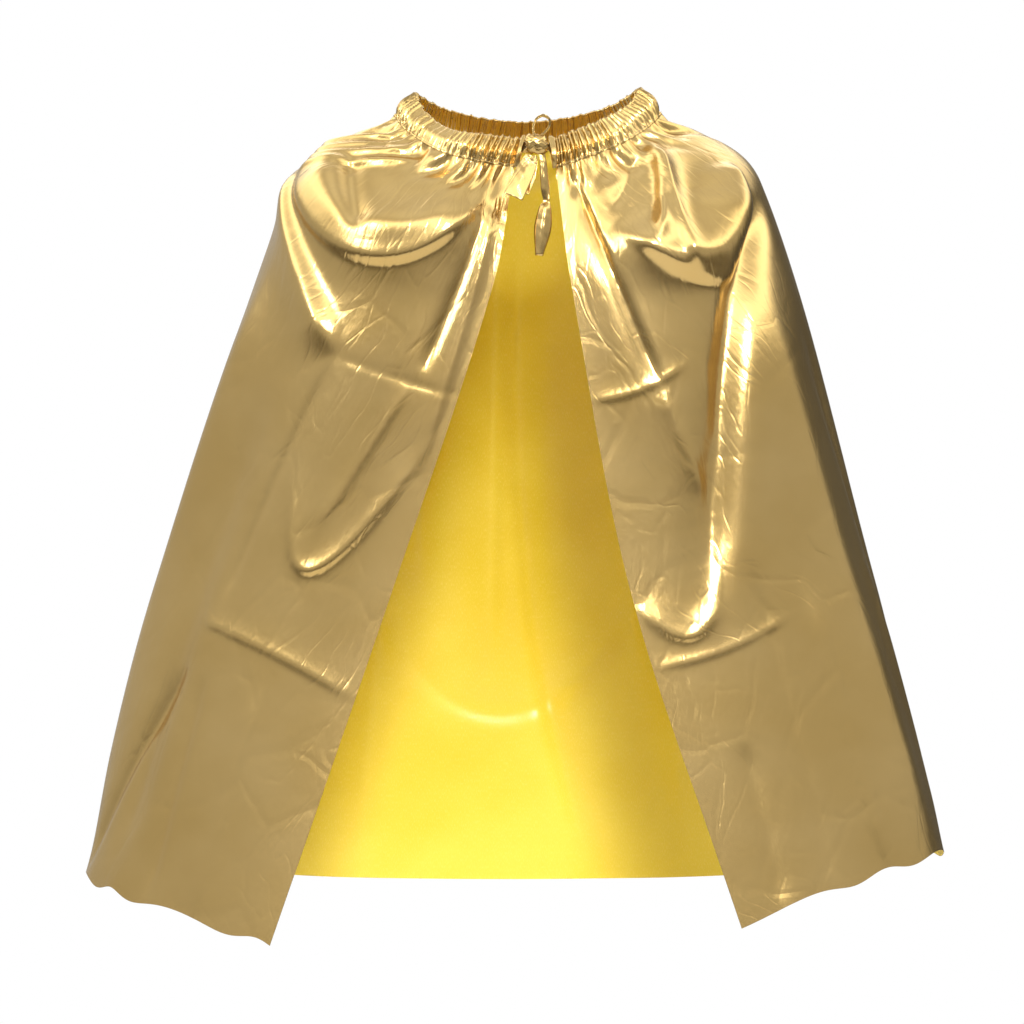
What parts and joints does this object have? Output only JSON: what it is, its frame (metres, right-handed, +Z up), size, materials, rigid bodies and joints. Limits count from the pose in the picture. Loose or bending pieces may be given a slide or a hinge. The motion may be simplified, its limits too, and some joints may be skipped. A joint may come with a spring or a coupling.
{
  "type": "superhero cape",
  "caption": "Short gathered costume cape of foil-faced cloth, open in front, with a casing and a flat tie knotted at the neck.",
  "frame": {"origin": "middle of the neck opening, at the height of the casing's top edge over the shoulders less about 25 mm", "axes": "+Z up, -Y the wearer's front where the cape is open, +X to the right of a person who faces the cape"},
  "size_m": [0.8184, 0.3455, 0.7854],
  "materials": {
    "foil_cloth": "metallic gold foil face, smooth yellow reverse",
    "foil_tie": "metallic gold foil face on both sides, sewn double",
    "thread": "matte sewing thread"
  },
  "bodies": {
    "cape_body": {"cape_cloth": "foil_cloth", "neck_casing": "foil_cloth", "casing_stitches": "thread", "drawstring": "foil_tie", "knot": "foil_tie"},
    "corner_left": {"front_corner_left": "foil_cloth"},
    "corner_right": {"front_corner_right": "foil_cloth"},
    "lower_back": {"back_drape": "foil_cloth"},
    "bow": {"bow_loop": "foil_tie"},
    "left_tail": {"tail_left": "foil_tie"},
    "right_tail": {"tail_right": "foil_tie"}
  },
  "joints": [
    {"name": "corner_left_turn", "type": "hinge", "parent": "cape_body", "child": "corner_left", "pos_m": [-0.1251, -0.1718, -0.3876], "axis": [-0.6642, 0.2883, -0.6897], "range_deg": [0, 60]},
    {"name": "corner_right_turn", "type": "hinge", "parent": "cape_body", "child": "corner_right", "pos_m": [0.1013, -0.178, -0.3883], "axis": [-0.7052, -0.2745, 0.6537], "range_deg": [0, 60]},
    {"name": "lower_back_swing", "type": "hinge", "parent": "cape_body", "child": "lower_back", "pos_m": [0, 0.1548, -0.43], "axis": [1, 0, 0], "range_deg": [0, 35]},
    {"name": "bow_flop", "type": "hinge", "parent": "cape_body", "child": "bow", "pos_m": [0.013, -0.133, -0.0289], "axis": [1, 0, 0], "range_deg": [-5, 60], "stiffness_Nm_per_rad": 0.002},
    {"name": "left_tail_swing", "type": "hinge", "parent": "cape_body", "child": "left_tail", "pos_m": [0.006, -0.133, -0.0531], "axis": [-1, 0, 0], "range_deg": [0, 70]},
    {"name": "right_tail_swing", "type": "hinge", "parent": "cape_body", "child": "right_tail", "pos_m": [0.016, -0.133, -0.0531], "axis": [-1, 0, 0], "range_deg": [0, 70]}
  ]
}
